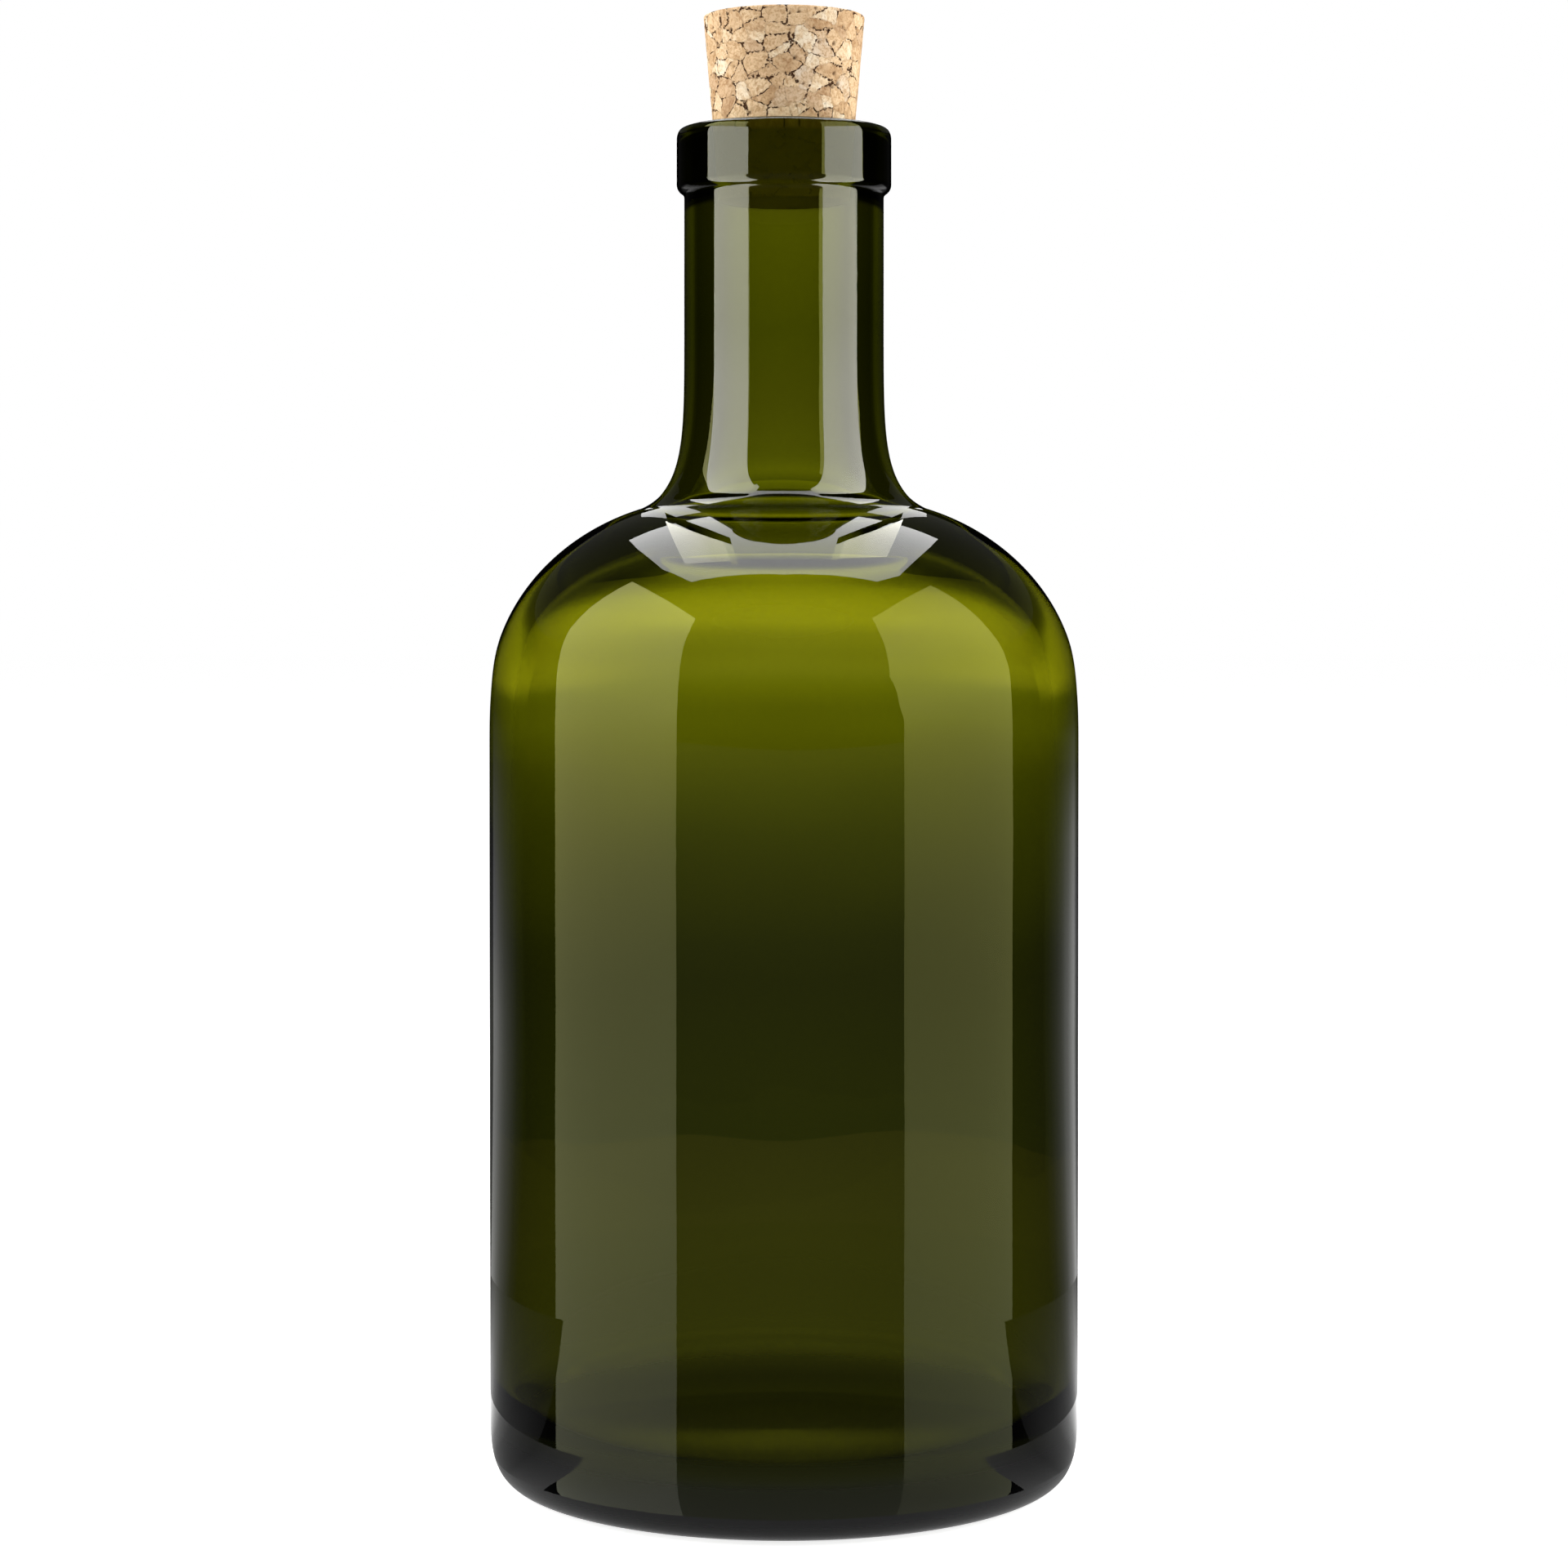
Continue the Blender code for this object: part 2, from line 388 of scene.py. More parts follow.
def cloudiness(points, size, seed):
    # smooth random values from -1 to 1, size apart, for many points at once
    lattice = np.random.default_rng(seed).uniform(-1, 1, (32, 32, 32))
    place = points / size
    whole = np.floor(place).astype(int)
    share = place - whole
    share = share * share * (3 - 2 * share)
    total = np.zeros(len(points))
    for corner in np.ndindex(2, 2, 2):
        weight = np.prod(np.where(corner, share, 1 - share), axis=1)
        total += weight * lattice[tuple(((whole + corner) % 32).T)]
    return total


def pressedCork(c):
    rows = corkOutline(c)
    around = c["around"]
    angles = np.linspace(0, math.tau, around, endpoint=False)
    radius = np.array([r for r, _ in rows])
    height = np.array([z for _, z in rows])
    ring = np.stack([np.cos(angles), np.sin(angles)], axis=1)
    points = np.empty((len(rows), around, 3))
    points[:, :, 0] = radius[:, None] * ring[None, :, 0]
    points[:, :, 1] = radius[:, None] * ring[None, :, 1]
    points[:, :, 2] = height[:, None]
    slope = np.gradient(np.stack([radius, height], axis=1), axis=0)
    slope /= np.linalg.norm(slope, axis=1)[:, None]
    normals = np.empty_like(points)
    normals[:, :, 0] = slope[:, 1][:, None] * ring[None, :, 0]
    normals[:, :, 1] = slope[:, 1][:, None] * ring[None, :, 1]
    normals[:, :, 2] = -slope[:, 0][:, None]
    points, normals = points.reshape(-1, 3), normals.reshape(-1, 3)

    lift = cloudiness(points, c["swellSize"], 1) * c["swell"]
    lift = lift + cloudiness(points, c["gritSize"], 2) * c["grit"]
    rng = np.random.default_rng(c["seed"])
    pit = np.zeros(len(points))
    for _ in range(c["pits"]):
        turn, share = rng.random() * math.tau, rng.random()
        z = lipHeight - 1 + (corkTop - lipHeight + 1) * share
        r = c["lipRadius"] + (c["topRadius"] - c["lipRadius"]) * share
        if rng.random() < c["pitsOnTop"]:
            z, r = corkTop, c["topRadius"] * math.sqrt(rng.random()) * 0.97
        away = (points - (r * math.cos(turn), r * math.sin(turn), z)) * rng.uniform(0.7, 1.5, 3)
        size = rng.uniform(*c["pitSize"])
        pit = np.maximum(pit, np.clip(1.4 - np.linalg.norm(away, axis=1) / size, 0, 1))
    points = points + normals * (lift - pit * c["pitDepth"])[:, None]

    bm = bmesh.new()
    verts = [bm.verts.new(p * mm) for p in points]
    for row in range(len(rows) - 1):
        here, above = row * around, (row + 1) * around
        for i in range(around):
            j = (i + 1) % around
            bm.faces.new((verts[here + i], verts[here + j], verts[above + j], verts[above + i]))
    bm.faces.new([verts[i] for i in reversed(range(around))])
    bm.faces.new(verts[-around:])
    mesh = bpy.data.meshes.new("pressedCork")
    bm.to_mesh(mesh)
    bm.free()
    mesh.shade_smooth()
    mesh.attributes.new("pit", "FLOAT", "POINT").data.foreach_set("value", pit.astype(np.float32))
    piece = bpy.data.objects.new("pressedCork", mesh)
    bpy.context.scene.collection.objects.link(piece)
    return piece


corkFinish = {
    "tones": [  # from brown bark to the palest granules
        (0.00, (0.52, 0.32, 0.165)), (0.10, (0.63, 0.42, 0.235)), (0.30, (0.72, 0.495, 0.285)),
        (0.65, (0.78, 0.555, 0.33)), (0.88, (0.85, 0.65, 0.42)), (1.00, (0.91, 0.76, 0.56)),
    ],
    "granule": 2.7, "flatness": 1.25,  # size across, and how much flatter than wide
    "bend": 1.3, "jag": 0.30,  # how far seams wander, and their raggedness
    "crack": (0.050, 0.020, 0.009), "crackWidth": 0.15, "crackDepth": 0.2,
    "held": (0.30, 0.25, 0.12),  # painted shade: inside the mouth the cork is one even, darker colour
    "roughness": (0.78, 0.95), "grainDepth": 0.05,
}


def corkGranules(f):
    material, nodes, links, shader, output = newMaterial("corkGranules")

    def wire(node, **values):
        for name, value in values.items():
            socket = node.inputs[int(name[1:])] if name[0] == "i" and name[1:].isdigit() else node.inputs[name]
            if isinstance(value, bpy.types.NodeSocket):
                links.new(value, socket)
            else:
                socket.default_value = value
        return node

    def maths(operation, first, second=0.0, clamp=False):
        node = nodes.new("ShaderNodeMath")
        node.operation, node.use_clamp = operation, clamp
        return wire(node, i0=first, i1=second).outputs["Value"]

    def vector(operation, first, second):
        node = nodes.new("ShaderNodeVectorMath")
        node.operation = operation
        return wire(node, i0=first, i1=second).outputs["Vector"]

    def scaled(value, size):
        node = nodes.new("ShaderNodeVectorMath")
        node.operation = "SCALE"
        return wire(node, i0=value, Scale=size).outputs["Vector"]

    def clouds(where, scale, detail=2.0, output="Fac"):
        node = nodes.new("ShaderNodeTexNoise")
        return wire(node, Vector=where, Scale=scale, Detail=detail).outputs[output]

    def blend(kind, factor, first, second):
        node = nodes.new("ShaderNodeMix")
        node.data_type, node.blend_type = "RGBA", kind
        return wire(node, Factor=factor, A=first, B=second).outputs["Result"]

    # place in millimetres; seams wander and are a little ragged
    place = scaled(nodes.new("ShaderNodeTexCoord").outputs["Object"], 1 / mm)
    middle = (0.5, 0.5, 0.5)
    wander = vector("SUBTRACT", clouds(place, 0.35, 1, "Color"), middle)
    ragged = vector("SUBTRACT", clouds(place, 2.6, 3, "Color"), middle)
    bent = vector("ADD", place, scaled(wander, f["bend"]))
    bent = vector("ADD", bent, scaled(ragged, f["jag"] * 2))
    bent = vector("MULTIPLY", bent, (1, 1, f["flatness"]))
    cells = wire(nodes.new("ShaderNodeTexVoronoi"), Vector=bent, Scale=1 / f["granule"])
    edges = nodes.new("ShaderNodeTexVoronoi")
    edges.feature = "DISTANCE_TO_EDGE"
    wire(edges, Vector=bent, Scale=1 / f["granule"])
    seam = maths("MULTIPLY", edges.outputs["Distance"], f["granule"])  # millimetres to the nearest seam
    kind = wire(nodes.new("ShaderNodeSeparateColor"), Color=cells.outputs["Color"])

    # each granule has its own tone, clouded a little
    clouded = maths("MULTIPLY", maths("SUBTRACT", clouds(place, 0.8), 0.5), 0.7)
    shade = maths("ADD", kind.outputs["Red"], clouded)
    colour = ramp(nodes, f["tones"], shade, links).outputs["Color"]
    greyer = ramp(nodes, [(0.80, (1, 1, 1)), (0.90, (0.86, 0.84, 0.86))], kind.outputs["Green"], links)
    colour = blend("MULTIPLY", 1.0, colour, greyer.outputs["Color"])
    # painted shade and highlight: wrinkles drawn in the colour alone, darker brown in the creases and paler
    # and bluer on the ridges
    crumpled = scaled(vector("SUBTRACT", clouds(place, 1.1, 2, "Color"), middle), 2.2)
    wrinkles = clouds(vector("ADD", place, crumpled), 1.7, 5)
    creaseShade = ramp(nodes, [(0.36, (0.80, 0.73, 0.66)), (0.50, (1, 1, 1)), (0.62, (1.08, 1.10, 1.14))],
                   wrinkles, links)
    colour = blend("MULTIPLY", 1.0, colour, creaseShade.outputs["Color"])
    # growth streaks, turned another way in each granule
    turned = nodes.new("ShaderNodeVectorRotate")
    turned.rotation_type = "EULER_XYZ"
    wire(turned, Vector=place, Rotation=scaled(cells.outputs["Color"], 6.0))
    stretched = vector("MULTIPLY", turned.outputs["Vector"], (0.35, 1.6, 1.6))
    streaks = ramp(nodes, [(0.34, (0.74, 0.64, 0.54)), (0.47, (1, 1, 1)), (1.0, (1, 1, 1))],
                   clouds(stretched, 2.2, 4), links)
    colour = blend("MULTIPLY", 0.9, colour, streaks.outputs["Color"])
    # short dark flecks
    flecks = ramp(nodes, [(0.24, (0.42, 0.30, 0.22)), (0.33, (1, 1, 1))], clouds(stretched, 4.5, 2), links)
    colour = blend("MULTIPLY", 0.8, colour, flecks.outputs["Color"])
    # seams: a faint glue line everywhere, an open crack here and there
    beside = maths("MULTIPLY", maths("SUBTRACT", 0.17, seam, True), 3.0, True)
    colour = blend("MIX", beside, colour, (0.42, 0.26, 0.14, 1))
    opened = maths("MULTIPLY", maths("SUBTRACT", clouds(place, 0.55, 3), 0.43), 7.0, True)
    broken = maths("MULTIPLY", maths("SUBTRACT", clouds(place, 2.6, 1), 0.38), 7.0, True)
    width = maths("MULTIPLY", maths("MULTIPLY", opened, broken), f["crackWidth"])
    crack = maths("MULTIPLY", maths("SUBTRACT", width, seam), 22.0, True)
    pit = nodes.new("ShaderNodeAttribute")
    pit.attribute_name = "pit"
    dark = maths("MAXIMUM", crack, maths("MULTIPLY", pit.outputs["Fac"], 0.85), True)
    colour = blend("MIX", dark, colour, (*f["crack"], 1))
    # painted shade in the mouth: below the lip the cork's colour gives way to one even, darker colour
    height = wire(nodes.new("ShaderNodeSeparateXYZ"), Vector=place).outputs["Z"]
    held = maths("SUBTRACT", lipHeight - 0.4, height, True)
    colour = blend("MIX", held, colour, (*f["held"], 1))
    links.new(colour, shader.inputs["Base Color"])

    grain = clouds(place, 5.0, 3)
    low, high = f["roughness"]
    wire(shader, Roughness=maths("ADD", maths("MULTIPLY", grain, high - low), low))
    height = maths("SUBTRACT", maths("MULTIPLY", grain, f["grainDepth"]),
                   maths("MULTIPLY", crack, f["crackDepth"]))
    bump = nodes.new("ShaderNodeBump")
    wire(bump, Strength=1.0, Distance=mm, Height=height)
    links.new(bump.outputs["Normal"], shader.inputs["Normal"])
    shader.inputs["Specular IOR Level"].default_value = 0.3
    return material


corkStopper = pressedCork(cork)
corkStopper.data.materials.append(corkGranules(corkFinish))
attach(corkStopper, "root")
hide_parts("cork")
print("cork: %d faces, %d pits" % (len(corkStopper.data.polygons), cork["pits"]))

def tinted(stops):
    # (place, brightness, green and blue shares) as (place, colour)
    return [(stop[0], (stop[1], stop[1] * (stop[2] if len(stop) > 2 else 1),
                       stop[1] * (stop[3] if len(stop) > 3 else 1))) for stop in stops]


def glowMaterial(name, power, mirrored=1, lit=None, **shades):
    # plain light; shades gives stops by height, by distance from the middle, or by turn from the front,
    # mirrored is what is left of it in a reflection of a reflection, and lit is its light on the cork
    material = bpy.data.materials.new(name)
    material.use_nodes = True
    nodes, links = material.node_tree.nodes, material.node_tree.links
    nodes.clear()
    output = nodes.new("ShaderNodeOutputMaterial")
    light = nodes.new("ShaderNodeEmission")
    links.new(light.outputs["Emission"], output.inputs["Surface"])
    where = nodes.new("ShaderNodeNewGeometry")
    split = nodes.new("ShaderNodeSeparateXYZ")
    links.new(where.outputs["Position"], split.inputs["Vector"])

    def maths(operation, first, second=None):
        node = nodes.new("ShaderNodeMath")
        node.operation = operation
        for socket, value in zip(node.inputs, (first, second)):
            if isinstance(value, bpy.types.NodeSocket):
                links.new(value, socket)
            elif value is not None:
                socket.default_value = value
        return node.outputs["Value"]

    colour = None
    for measure, stops in shades.items():
        stops = tinted(stops)
        low, high = stops[0][0], stops[-1][0]
        scale = nodes.new("ShaderNodeMapRange")
        unit = math.radians(1) if measure == "turn" else mm
        scale.inputs["From Min"].default_value = low * unit
        scale.inputs["From Max"].default_value = high * unit
        if measure == "height":
            value = split.outputs["Z"]
        elif measure == "turn":
            value = maths("ARCTAN2", maths("ABSOLUTE", split.outputs["X"]),
                          maths("MULTIPLY", split.outputs["Y"], -1.0))
        else:
            value = maths("SQRT", maths("ADD", maths("POWER", maths("ABSOLUTE", split.outputs["X"]), 2.0),
                                        maths("POWER", maths("ABSOLUTE", split.outputs["Y"]), 2.0)))
        links.new(value, scale.inputs["Value"])
        peak = max(max(shade) for _, shade in stops)
        power *= peak
        shade = ramp(nodes, [((place - low) / (high - low), tuple(v / peak for v in c)) for place, c in stops],
                     scale.outputs["Result"], links).outputs["Color"]
        if colour is not None:
            both = nodes.new("ShaderNodeMix")
            both.data_type, both.blend_type = "RGBA", "MULTIPLY"
            both.inputs["Factor"].default_value = 1
            links.new(colour, both.inputs["A"])
            links.new(shade, both.inputs["B"])
            shade = both.outputs["Result"]
        colour = shade
    links.new(colour, light.inputs["Color"])
    light.inputs["Strength"].default_value = power
    if mirrored != 1:
        path = nodes.new("ShaderNodeLightPath")
        share = nodes.new("ShaderNodeMapRange")
        share.inputs["From Min"].default_value, share.inputs["From Max"].default_value = 1, 2
        share.inputs["To Min"].default_value, share.inputs["To Max"].default_value = power, power * mirrored
        links.new(path.outputs["Glossy Depth"], share.inputs["Value"])
        links.new(share.outputs["Result"], light.inputs["Strength"])
    if lit is not None:
        path = nodes.new("ShaderNodeLightPath")
        onCork = maths("GREATER_THAN", path.outputs["Diffuse Depth"], 0.5)
        both = nodes.new("ShaderNodeMix")
        both.data_type = "RGBA"
        links.new(onCork, both.inputs["Factor"])
        links.new(colour, both.inputs["A"])
        both.inputs["B"].default_value = (lit / power, lit / power, lit / power, 1)
        links.new(both.outputs["Result"], light.inputs["Color"])
    material.cycles.emission_sampling = "NONE"
    return material


def stagePiece(name, points, faces, material, seenBy):
    mesh = bpy.data.meshes.new(name)
    mesh.from_pydata([tuple(v * mm for v in p) for p in points], [], faces)
    mesh.materials.append(material)
    piece = bpy.data.objects.new(name, mesh)
    bpy.context.scene.collection.objects.link(piece)
    for kind in ("camera", "diffuse", "glossy", "transmission", "shadow", "volume_scatter"):
        setattr(piece, "visible_" + kind, kind in seenBy)
    return piece


def around(turn, radius, z):
    # turn is in degrees from the front, to the right
    return (radius * math.sin(math.radians(turn)), -radius * math.cos(math.radians(turn)), z)


def band(start, end, low, high, steps=48):
    # a surface swept round from start to end degrees; low and high are (radius, height)
    points, faces = [], []
    for i in range(steps + 1):
        turn = start + (end - start) * i / steps
        points += [around(turn, *low), around(turn, *high)]
    for i in range(steps):
        faces.append((2 * i, 2 * i + 2, 2 * i + 3, 2 * i + 1))
    return points, faces


def panel(near, far):
    # an upright surface; its near and far edges are {height: (x, y)}
    def edgeAt(edge, z):
        known = sorted(edge)
        return tuple(float(np.interp(z, known, [edge[k][i] for k in known])) for i in (0, 1))

    heights = sorted(set(near) | set(far))
    points, faces = [], []
    for z in heights:
        points += [(*edgeAt(near, z), z), (*edgeAt(far, z), z)]
    for i in range(len(heights) - 1):
        faces.append((2 * i, 2 * i + 1, 2 * i + 3, 2 * i + 2))
    return points, faces


# Shades below are (place, brightness, green share, blue share), the shares left out where they are 1.
# Turns are in degrees from the front, and the same on both sides.
floor = {"glow": 0.80, "tint": (0.9, 0.9, 0.9), "roughness": 0.9, "reach": 9000}  # seen by the camera alone

floorMaterial, nodes, links, shader, output = newMaterial("paleTable")
shader.inputs["Base Color"].default_value = (*floor["tint"], 1)
shader.inputs["Roughness"].default_value = floor["roughness"]
shader.inputs["Emission Color"].default_value = (1, 1, 1, 1)
shader.inputs["Emission Strength"].default_value = floor["glow"]
floorMaterial.cycles.emission_sampling = "NONE"
reach = floor["reach"]
stagePiece("paleFloor", [(-reach, -reach, 0), (reach, -reach, 0), (reach, reach, 0), (-reach, reach, 0)],
           [(0, 1, 2, 3)], floorMaterial, ("camera",))

throughGlass = {  # table and backdrop as the glass shows them: dim below, bright from shoulder height
    "radius": 330, "height": 640, "backFrom": 120,  # the backdrop goes round the back from this turn
    "table": [(0, 0.22), (36, 0.2), (48, 0.12), (70, 0.1), (130, 0.11), (205, 0.134), (330, 0.11)],
    "backdrop": [
        (-1, 0.07, 1.15, 0.1), (12, 0.074, 1.13, 0.1), (36, 0.064, 1.12, 0.1), (44, 0.074, 1.13, 0.1),
        (52, 0.104, 1.1, 0.05), (60, 0.132, 1.1, 0.1), (67, 0.156, 1.1, 0.1), (73, 0.187, 1.09, 0.1),
        (79, 0.22, 1.08, 0.1), (85, 0.255, 1.06, 0.1), (91, 0.29, 1.06, 0.1), (97, 0.345, 1.06, 0.12),
        (102, 0.41, 1.06, 0.18), (106, 0.46, 1.05, 0.25), (112, 0.51, 1.05, 0.25), (118, 0.56, 1.05, 0.25),
        (123, 0.61, 1.05, 0.3), (128, 0.70, 1.04, 0.5), (133, 0.92, 1.01, 0.9), (140, 1.28, 0.98, 1),
        (147, 1.62, 0.97, 1), (155, 1.9, 0.96, 1), (166, 2.03, 0.96, 1), (179, 2.0, 0.97, 1),
        (187, 1.8, 0.98, 1), (195, 1.2, 0.99, 1), (204, 0.65, 1, 1), (214, 0.38, 1, 1), (232, 0.27, 1, 1),
        (260, 0.15), (300, 0.05), (640, 0.0),
    ],
    "sides": [(-1, 0.0), (60, 0.03), (80, 0.2), (95, 0.42), (125, 0.52), (155, 0.42), (185, 0.25),
              (230, 0.35), (285, 0.9), (640, 1.6)],
    # two rings just outside the bottle, for what shows through the base and through the neck
    "ringRadius": 44, "baseRing": (-0.3, 28), "neckRing": (135, 195.4),
    "base": [(-1, 0.1, 1, 1), (9, 0.135, 1.02, 0.6), (20, 0.125, 1.02, 0.7), (30, 0.125, 1.02, 0.8)],
    "neck": [
        (135, 0.4, 1.05, 0.5), (139, 0.62, 1.03, 0.6), (142, 0.5, 1.03, 0.7), (149.5, 0.437, 1.02, 0.9),
        (160, 0.385, 1.07, 0.4), (165, 0.44, 1.05, 0.2), (173.5, 0.51, 1.04, 0.2), (177, 0.50),
        (178.7, 0.05), (195.4, 0.0),
    ],
    "neckTurns": [(0, 0.2), (138, 0.2), (146, 0.32), (153, 0.75), (160, 1.0), (180, 1.0)],
    "corkGlow": 1.6,  # what lights the cork through the neck
}
shades = throughGlass
radius, height, back, ring = shades["radius"], shades["height"], shades["backFrom"], shades["ringRadius"]
(baseLow, baseHigh), (neckLow, neckHigh) = shades["baseRing"], shades["neckRing"]
seenBy = ("transmission",)
stagePiece("tableThroughGlass", *band(0, 360, (0, -0.3), (radius, -0.3), 96),
           glowMaterial("tableGlow", 1, radius=shades["table"]), seenBy)
stagePiece("backdropDrum", *band(back, 360 - back, (radius, -1), (radius, height), 48),
           glowMaterial("backdropGlow", 1, height=shades["backdrop"]), seenBy)
stagePiece("sideDrum", *band(-back, back, (radius, -1), (radius, height), 96),
           glowMaterial("sideDrumGlow", 1, height=shades["sides"]), seenBy)
stagePiece("baseRing", *band(0, 360, (ring, baseLow), (ring, baseHigh), 96),
           glowMaterial("baseRingGlow", 1, height=shades["base"]), seenBy)
stagePiece("neckRing", *band(0, 360, (ring, neckLow), (ring, neckHigh), 96),
           glowMaterial("neckRingGlow", 1, height=shades["neck"], turn=shades["neckTurns"],
                        lit=shades["corkGlow"]), seenBy)

inGloss = {  # table and walls as the gloss shows them: dark in front, paler far back on both sides
    "front": [(0, 0.47, 1.03, 0.85), (48, 0.357, 1.06, 0.72), (64, 0.33, 1.08, 0.65), (78, 0.2, 1.1, 0.5),
              (92, 0.05), (125, 0.1, 1.1, 0.2), (170, 0.05), (900, 0.07)],
    "frontEdge": [(-13.6, -37.6), (15.2, -37.0), (3063.2, -2907), (-3077.6, -3521.6)],
    "wallRadius": 520, "wallHeight": 300, "wallFrom": 95, "middleFrom": 84, "nearFrom": 62,  # turns
    "leftWall": [(95, 0.03), (115, 0.03), (122, 0.12), (129, 0.35), (132, 0.43), (136, 0.55), (140, 0.72),
                 (143, 0.85), (146, 0.96), (152, 1.0), (154.5, 0.15), (165, 0.15), (180, 0.3)],
    "rightWall": [(95, 0.03), (115, 0.03), (121, 0.08), (128, 0.20), (133, 0.34), (137, 0.53), (141, 0.64),
                  (144, 0.8), (148, 1.0), (151, 1.0), (154, 0.6), (157, 0.2), (162, 0.1), (180, 0.1)],
    "leftHeights": [(-1, 0.4), (10, 0.385), (32, 0.25), (57, 0.125), (82, 0.035), (100, 0.01), (300, 0.01)],
    "rightHeights": [(-1, 0.58), (10, 0.58), (32, 0.51), (57, 0.34), (75, 0.12), (92, 0.03), (110, 0.01),
                     (300, 0.01)],
    "tableRings": (34, 75, 170),  # the table beside the bottle: near, middle and behind, up to the wall
    "leftMiddle": [(84, 0.08), (95, 0.12), (104, 0.13), (113, 0.16), (122, 0.22), (128, 0.34), (134, 0.5),
                   (141, 0.6), (148, 0.5), (155, 0.1), (180, 0.1)],
    "rightMiddle": [(84, 0.08), (95, 0.13), (104, 0.14), (113, 0.18), (122, 0.26), (128, 0.42), (134, 0.68),
                    (141, 0.85), (148, 0.6), (155, 0.1), (180, 0.1)],
    "middleFade": [(75, 1), (120, 0.6), (170, 0.35)],  # by distance from the bottle's axis
    "leftNear": [(62, 0.42), (72, 0.3), (84, 0.17), (92, 0.18), (103, 0.22), (114, 0.4), (130, 1.2),
                 (150, 1.9), (180, 2.1)],
    "rightNear": [(62, 0.4), (72, 0.28), (84, 0.17), (92, 0.2), (103, 0.26), (114, 0.55), (130, 1.5),
                  (150, 2.3), (180, 2.5)],
    "foot": [(0, 0.42), (40, 0.42), (65, 0.38), (90, 0.25), (120, 0.5), (180, 1.5)],
    "footRing": (31.5, 43),  # under the heel
}
shades = inGloss
wall, wallHeight, wallFrom = shades["wallRadius"], shades["wallHeight"], shades["wallFrom"]
near, middle, behind = shades["tableRings"]
seenBy = ("glossy",)
stagePiece("tableInGloss", [(x, y, -0.3) for x, y in shades["frontEdge"]], [(0, 1, 2, 3)],
           glowMaterial("frontGlow", 1, radius=shades["front"]), seenBy)
for side, sign in (("left", -1), ("right", 1)):
    turns, heights, end = shades[side + "Wall"], shades[side + "Heights"], 180 * sign
    stagePiece(side + "Wall", *band(wallFrom * sign, end, (wall, -0.3), (wall, wallHeight)),
               glowMaterial(side + "WallGlow", 1, turn=turns, height=heights), seenBy)
    stagePiece(side + "TableBehind", *band(wallFrom * sign, end, (behind, -0.3), (wall, -0.3)),
               glowMaterial(side + "TableGlow", heights[0][1], turn=turns), seenBy)
    stagePiece(side + "TableMiddle", *band(shades["middleFrom"] * sign, end, (middle, -0.3), (behind, -0.3)),
               glowMaterial(side + "MiddleGlow", 1, turn=shades[side + "Middle"], radius=shades["middleFade"]),
               seenBy)
    stagePiece(side + "TableNear", *band(shades["nearFrom"] * sign, end, (near, -0.25), (middle, -0.25)),
               glowMaterial(side + "NearGlow", 1, turn=shades[side + "Near"]), seenBy)
footInner, footOuter = shades["footRing"]
stagePiece("tableFoot", *band(-180, 180, (footInner, -0.2), (footOuter, -0.2), 96),
           glowMaterial("footGlow", 1, turn=shades["foot"]), seenBy)

softboxes = {  # at both sides, seen in the gloss; shades by height, and edges as {height: (x, y)}
    "mirrored": 0.4,
    "left": [
        (-700, 0.88, 1.03, 0.85), (-165, 0.86, 1.03, 0.8), (-75, 0.82, 1.03, 0.72), (-47, 0.93, 1.02, 0.66),
        (-5, 1.2, 1.01, 0.53), (35, 1.23, 1, 0.46), (55, 1.42, 0.98, 0.42), (75, 1.82, 0.97, 0.35),
        (95, 2.15, 0.97, 0.34), (115, 2.42, 0.98, 0.34), (142, 2.75, 0.98, 0.34), (200, 2.5, 0.98, 0.42),
        (300, 2.65, 0.99, 0.45), (420, 2.9, 0.99, 0.45), (600, 3.8, 0.99, 0.4),
    ],
    "right": [
        (-700, 0.62, 1.04, 0.8), (-165, 0.53, 1.05, 0.7), (-75, 0.62, 1.05, 0.64), (-47, 0.75, 1.05, 0.62),
        (-5, 1.0, 1.02, 0.46), (35, 1.01, 1, 0.39), (55, 1.04, 0.99, 0.39), (75, 1.26, 0.98, 0.33),
        (95, 1.56, 0.98, 0.3), (115, 1.85, 1, 0.27), (142, 2.25, 1, 0.27), (200, 2.2, 1.01, 0.27),
        (300, 2.3, 1, 0.3), (420, 2.1, 0.98, 0.35), (600, 2.0, 0.98, 0.3),
    ],
    "leftNear": {-700: (-320, -386), 120: (-320, -386), 200: (-320, -388), 300: (-320, -378),
                 600: (-320, -330)},
    "leftFar": {-700: (-400, 250), -200: (-380, 87), -110: (-373, 34), -70: (-372, 25), 120: (-372, 26),
                200: (-374, 40), 300: (-377, 72), 600: (-385, 88)},
    "rightNear": {-700: (320, -324), 120: (320, -326), 200: (320, -383), 300: (320, -374), 600: (320, -330)},
    "rightFar": {-700: (400, 250), -200: (381, 87), -110: (373, 34), -70: (372, 25), 120: (372, 25),
                 200: (374, 30), 300: (377, 36), 600: (385, 44)},
}
for side in ("left", "right"):
    stagePiece(side + "Softbox", *panel(softboxes[side + "Near"], softboxes[side + "Far"]),
               glowMaterial(side + "SoftboxGlow", 1, softboxes["mirrored"], height=softboxes[side]),
               ("glossy",))

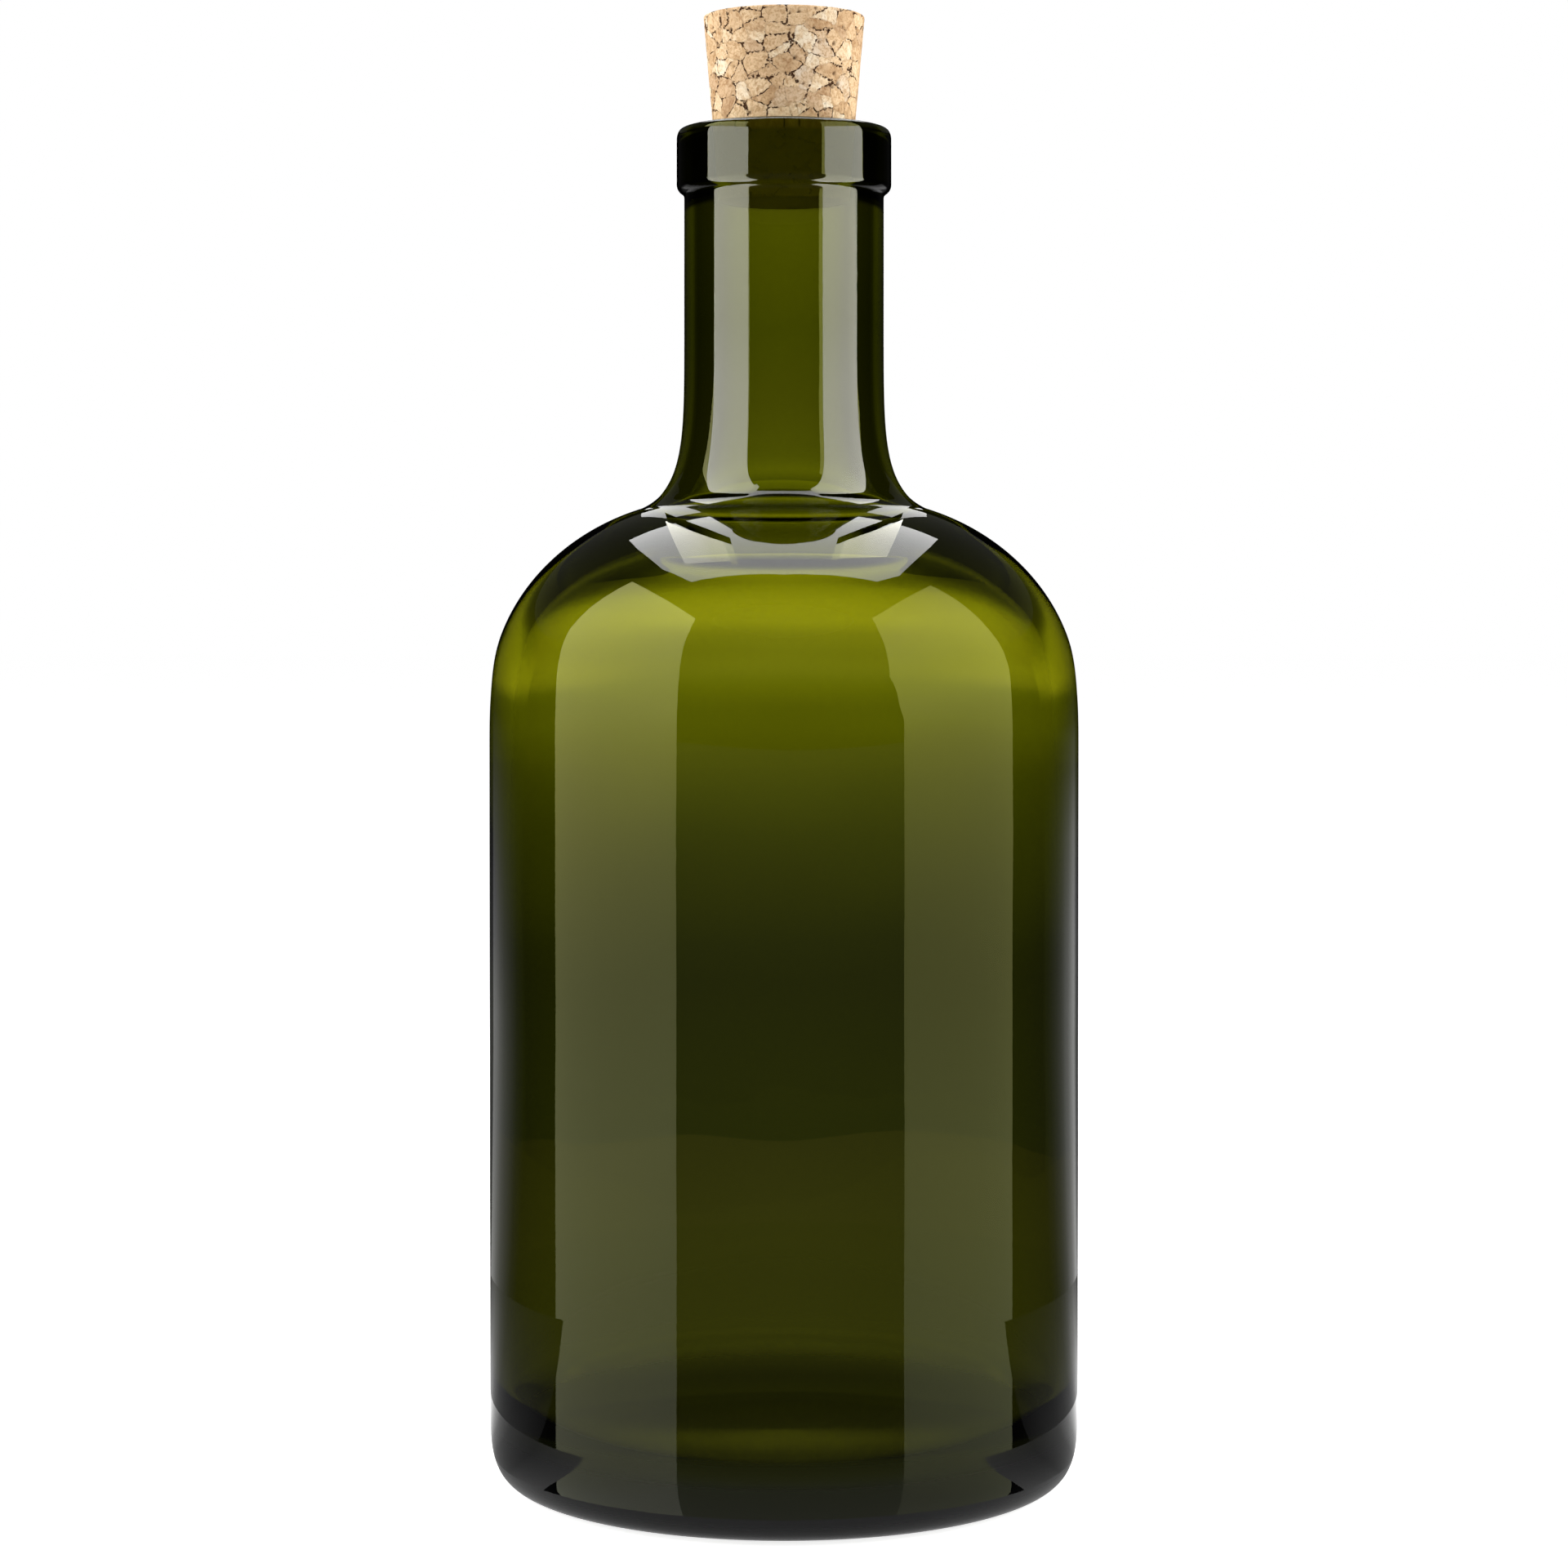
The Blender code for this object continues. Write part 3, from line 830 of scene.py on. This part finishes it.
neckCards = {  # small cards close beside the neck, each with a black edge, seen in the gloss alone
    "aside": 18, "mirrored": 0.1,
    "heights": (137, 174.5, 176, 187),  # beside the neck for the first two, beside the collar for the others
    "shades": [(137, 6.2, 0.99, 0.9), (150, 6.2, 0.99, 0.85), (158, 5.8, 0.99, 0.8), (174, 6.2, 0.99, 0.78),
               (176, 4.9, 1, 0.82), (187, 4.9, 1, 0.82)],
    "leftNeck": (-27.8, -10.2), "leftCollar": (-30.6, -10.6),  # near and far ends
    "rightNeck": (-25.3, -9.0), "rightCollar": (-26.6, -9.9),
    "edgeFrom": 138, "edgeFull": 150, "edgeSlant": 0.8, "edgeEnd": -2,
}
black = glowMaterial("blackCard", 1, height=[(-1000, 0.0), (1000, 0.002)])
bottom, underCollar, collarFrom, top = neckCards["heights"]
for side, sign in (("left", -1), ("right", 1)):
    x, end = neckCards["aside"] * sign, neckCards["edgeEnd"]
    near, far = ({bottom: (x, onNeck), underCollar: (x, onNeck), collarFrom: (x, onCollar), top: (x, onCollar)}
                 for onNeck, onCollar in zip(neckCards[side + "Neck"], neckCards[side + "Collar"]))
    stagePiece(side + "NeckCard", *panel(near, far),
               glowMaterial(side + "NeckCardGlow", 1, neckCards["mirrored"], height=neckCards["shades"]),
               ("glossy",))
    low, y = neckCards["edgeFrom"], far[bottom][1]
    edge = {low: (x, y * neckCards["edgeSlant"]), neckCards["edgeFull"]: (x, y), top: far[top]}
    stagePiece(side + "NeckCardEdge", *panel(edge, {low: (x, end), top: (x, end)}), black, ("glossy",))

backSoftboxes = {  # one overhead and a small one at the back, by their corners
    "overhead": [(-286, 480), (-286, 313), (-275, 67), (-233, -72), (0, -102), (233, -72), (276, 9),
                 (282, 325), (282, 490)],
    "overheadHeight": 600, "overheadGlow": 3.7, "overheadMirrored": 0.05,
    "back": [(-45, 190), (45, 190), (120, 360), (150, 520), (-150, 520), (-120, 360)],
    "backPlace": 515, "backGlow": 1.5,
}
evenShade = [(-1000, 1), (1000, 1)]
overhead, back = backSoftboxes["overhead"], backSoftboxes["back"]
stagePiece("overheadSoftbox", [(x, y, backSoftboxes["overheadHeight"]) for x, y in overhead],
           [tuple(range(len(overhead)))],
           glowMaterial("overheadGlow", backSoftboxes["overheadGlow"], backSoftboxes["overheadMirrored"],
                        height=evenShade), ("glossy",))
stagePiece("backGlow", [(x, backSoftboxes["backPlace"], z) for x, z in back], [tuple(range(len(back)))],
           glowMaterial("backGlow", backSoftboxes["backGlow"], height=evenShade), ("glossy",))
print("studio: table, backdrop, softboxes and cards are in place")


def softLight(name, place, size, power, aim):
    data = bpy.data.lights.new(name, "AREA")
    data.shape = "RECTANGLE"
    data.size, data.size_y = size[0] * mm, size[1] * mm
    data.energy = power
    light = bpy.data.objects.new(name, data)
    light.location = Vector(place) * mm
    light.rotation_euler = (Vector(place) - Vector(aim)).to_track_quat("Z", "Y").to_euler()
    light.visible_glossy = light.visible_transmission = light.visible_camera = False
    bpy.context.scene.collection.objects.link(light)


fillLights = {  # place, size and watts; they light the cork and the floor
    "leftFill": ((-380, -70, 240), (420, 560), 2.5),
    "rightFill": ((380, -60, 240), (420, 560), 2.6),
    "topFill": ((0, -60, 600), (560, 560), 1.6),
}
corkMiddle = (0, 0, 190)
for name, (place, size, power) in fillLights.items():
    softLight(name, place, size, power, corkMiddle)

air = {  # white to the camera, even for lighting the cork, nearly black in the gloss, black through the glass
    "camera": 1.0, "diffuse": 0.27, "transmission": 0.0,
    "gloss": [(0.0, 0.006), (0.60, 0.012), (0.86, 0.04), (1.0, 0.06)],  # from front to back
}
world = bpy.data.worlds.new("studioAir")
bpy.context.scene.world = world
world.use_nodes = True
nodes, links = world.node_tree.nodes, world.node_tree.links
nodes.clear()
output = nodes.new("ShaderNodeOutputWorld")
background = nodes.new("ShaderNodeBackground")
links.new(background.outputs["Background"], output.inputs["Surface"])
path = nodes.new("ShaderNodeLightPath")
place = nodes.new("ShaderNodeTexCoord")
split = nodes.new("ShaderNodeSeparateXYZ")
links.new(place.outputs["Generated"], split.inputs["Vector"])
depth = nodes.new("ShaderNodeMapRange")
depth.inputs["From Min"].default_value = -1
depth.inputs["From Max"].default_value = 1
links.new(split.outputs["Y"], depth.inputs["Value"])
shade = ramp(nodes, [(where, (value, value, value)) for where, value in air["gloss"]],
             depth.outputs["Result"], links).outputs["Color"]
for kind, value in (("Is Transmission Ray", air["transmission"]), ("Is Diffuse Ray", air["diffuse"]),
                    ("Is Camera Ray", air["camera"])):
    choose = nodes.new("ShaderNodeMix")
    choose.data_type = "RGBA"
    links.new(path.outputs[kind], choose.inputs["Factor"])
    links.new(shade, choose.inputs["A"])
    choose.inputs["B"].default_value = (value, value, value, 1)
    shade = choose.outputs["Result"]
links.new(shade, background.inputs["Color"])

view = {"place": (0, -508, 119.06), "tiltDown": 0.905, "lens": 85.67, "sensor": 36, "shift": -0.076}
camera = bpy.data.objects.new("camera", bpy.data.cameras.new("camera"))
camera.location = Vector(view["place"]) * mm
camera.rotation_euler = (math.radians(90 - view["tiltDown"]), 0, 0)
camera.data.lens, camera.data.shift_y = view["lens"], view["shift"]
camera.data.sensor_width = view["sensor"]
camera.data.clip_start = 0.01
bpy.context.scene.collection.objects.link(camera)
bpy.context.scene.camera = camera
bpy.context.scene.view_settings.view_transform = "Standard"
bpy.context.scene.view_settings.look = "None"
bpy.context.scene.cycles.caustics_refractive = True
bpy.context.scene.cycles.transmission_bounces = 16
bpy.context.scene.cycles.max_bounces = 20
print("camera: %.1f mm lens, %.0f units from the bottle's axis" % (view["lens"], -view["place"][1]))
